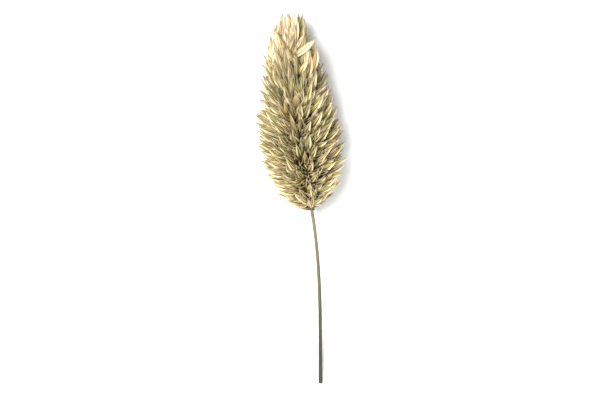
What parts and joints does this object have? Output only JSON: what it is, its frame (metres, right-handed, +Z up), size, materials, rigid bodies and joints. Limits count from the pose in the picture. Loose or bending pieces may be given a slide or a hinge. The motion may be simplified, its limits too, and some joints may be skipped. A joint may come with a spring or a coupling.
{
  "type": "canary grass seed head",
  "caption": "Dried canary grass head: a dense oval of keeled, pointed spikelets on a thin curved stem, cut and laid on its side.",
  "frame": {"origin": "middle of the underside of the object's box, on the surface that the object lies on", "axes": "+Y from the stem's cut end towards the tip of the head, +Z up from the surface, +X to the right when the head is seen from above pointing away"},
  "size_m": [0.0208, 0.086, 0.0177],
  "materials": {
    "dry_glumes": "matt papery straw",
    "dry_stem": "smooth grey-green straw"
  },
  "bodies": {
    "root": {"seed_head": "dry_glumes", "stem": "dry_stem"}
  },
  "joints": []
}
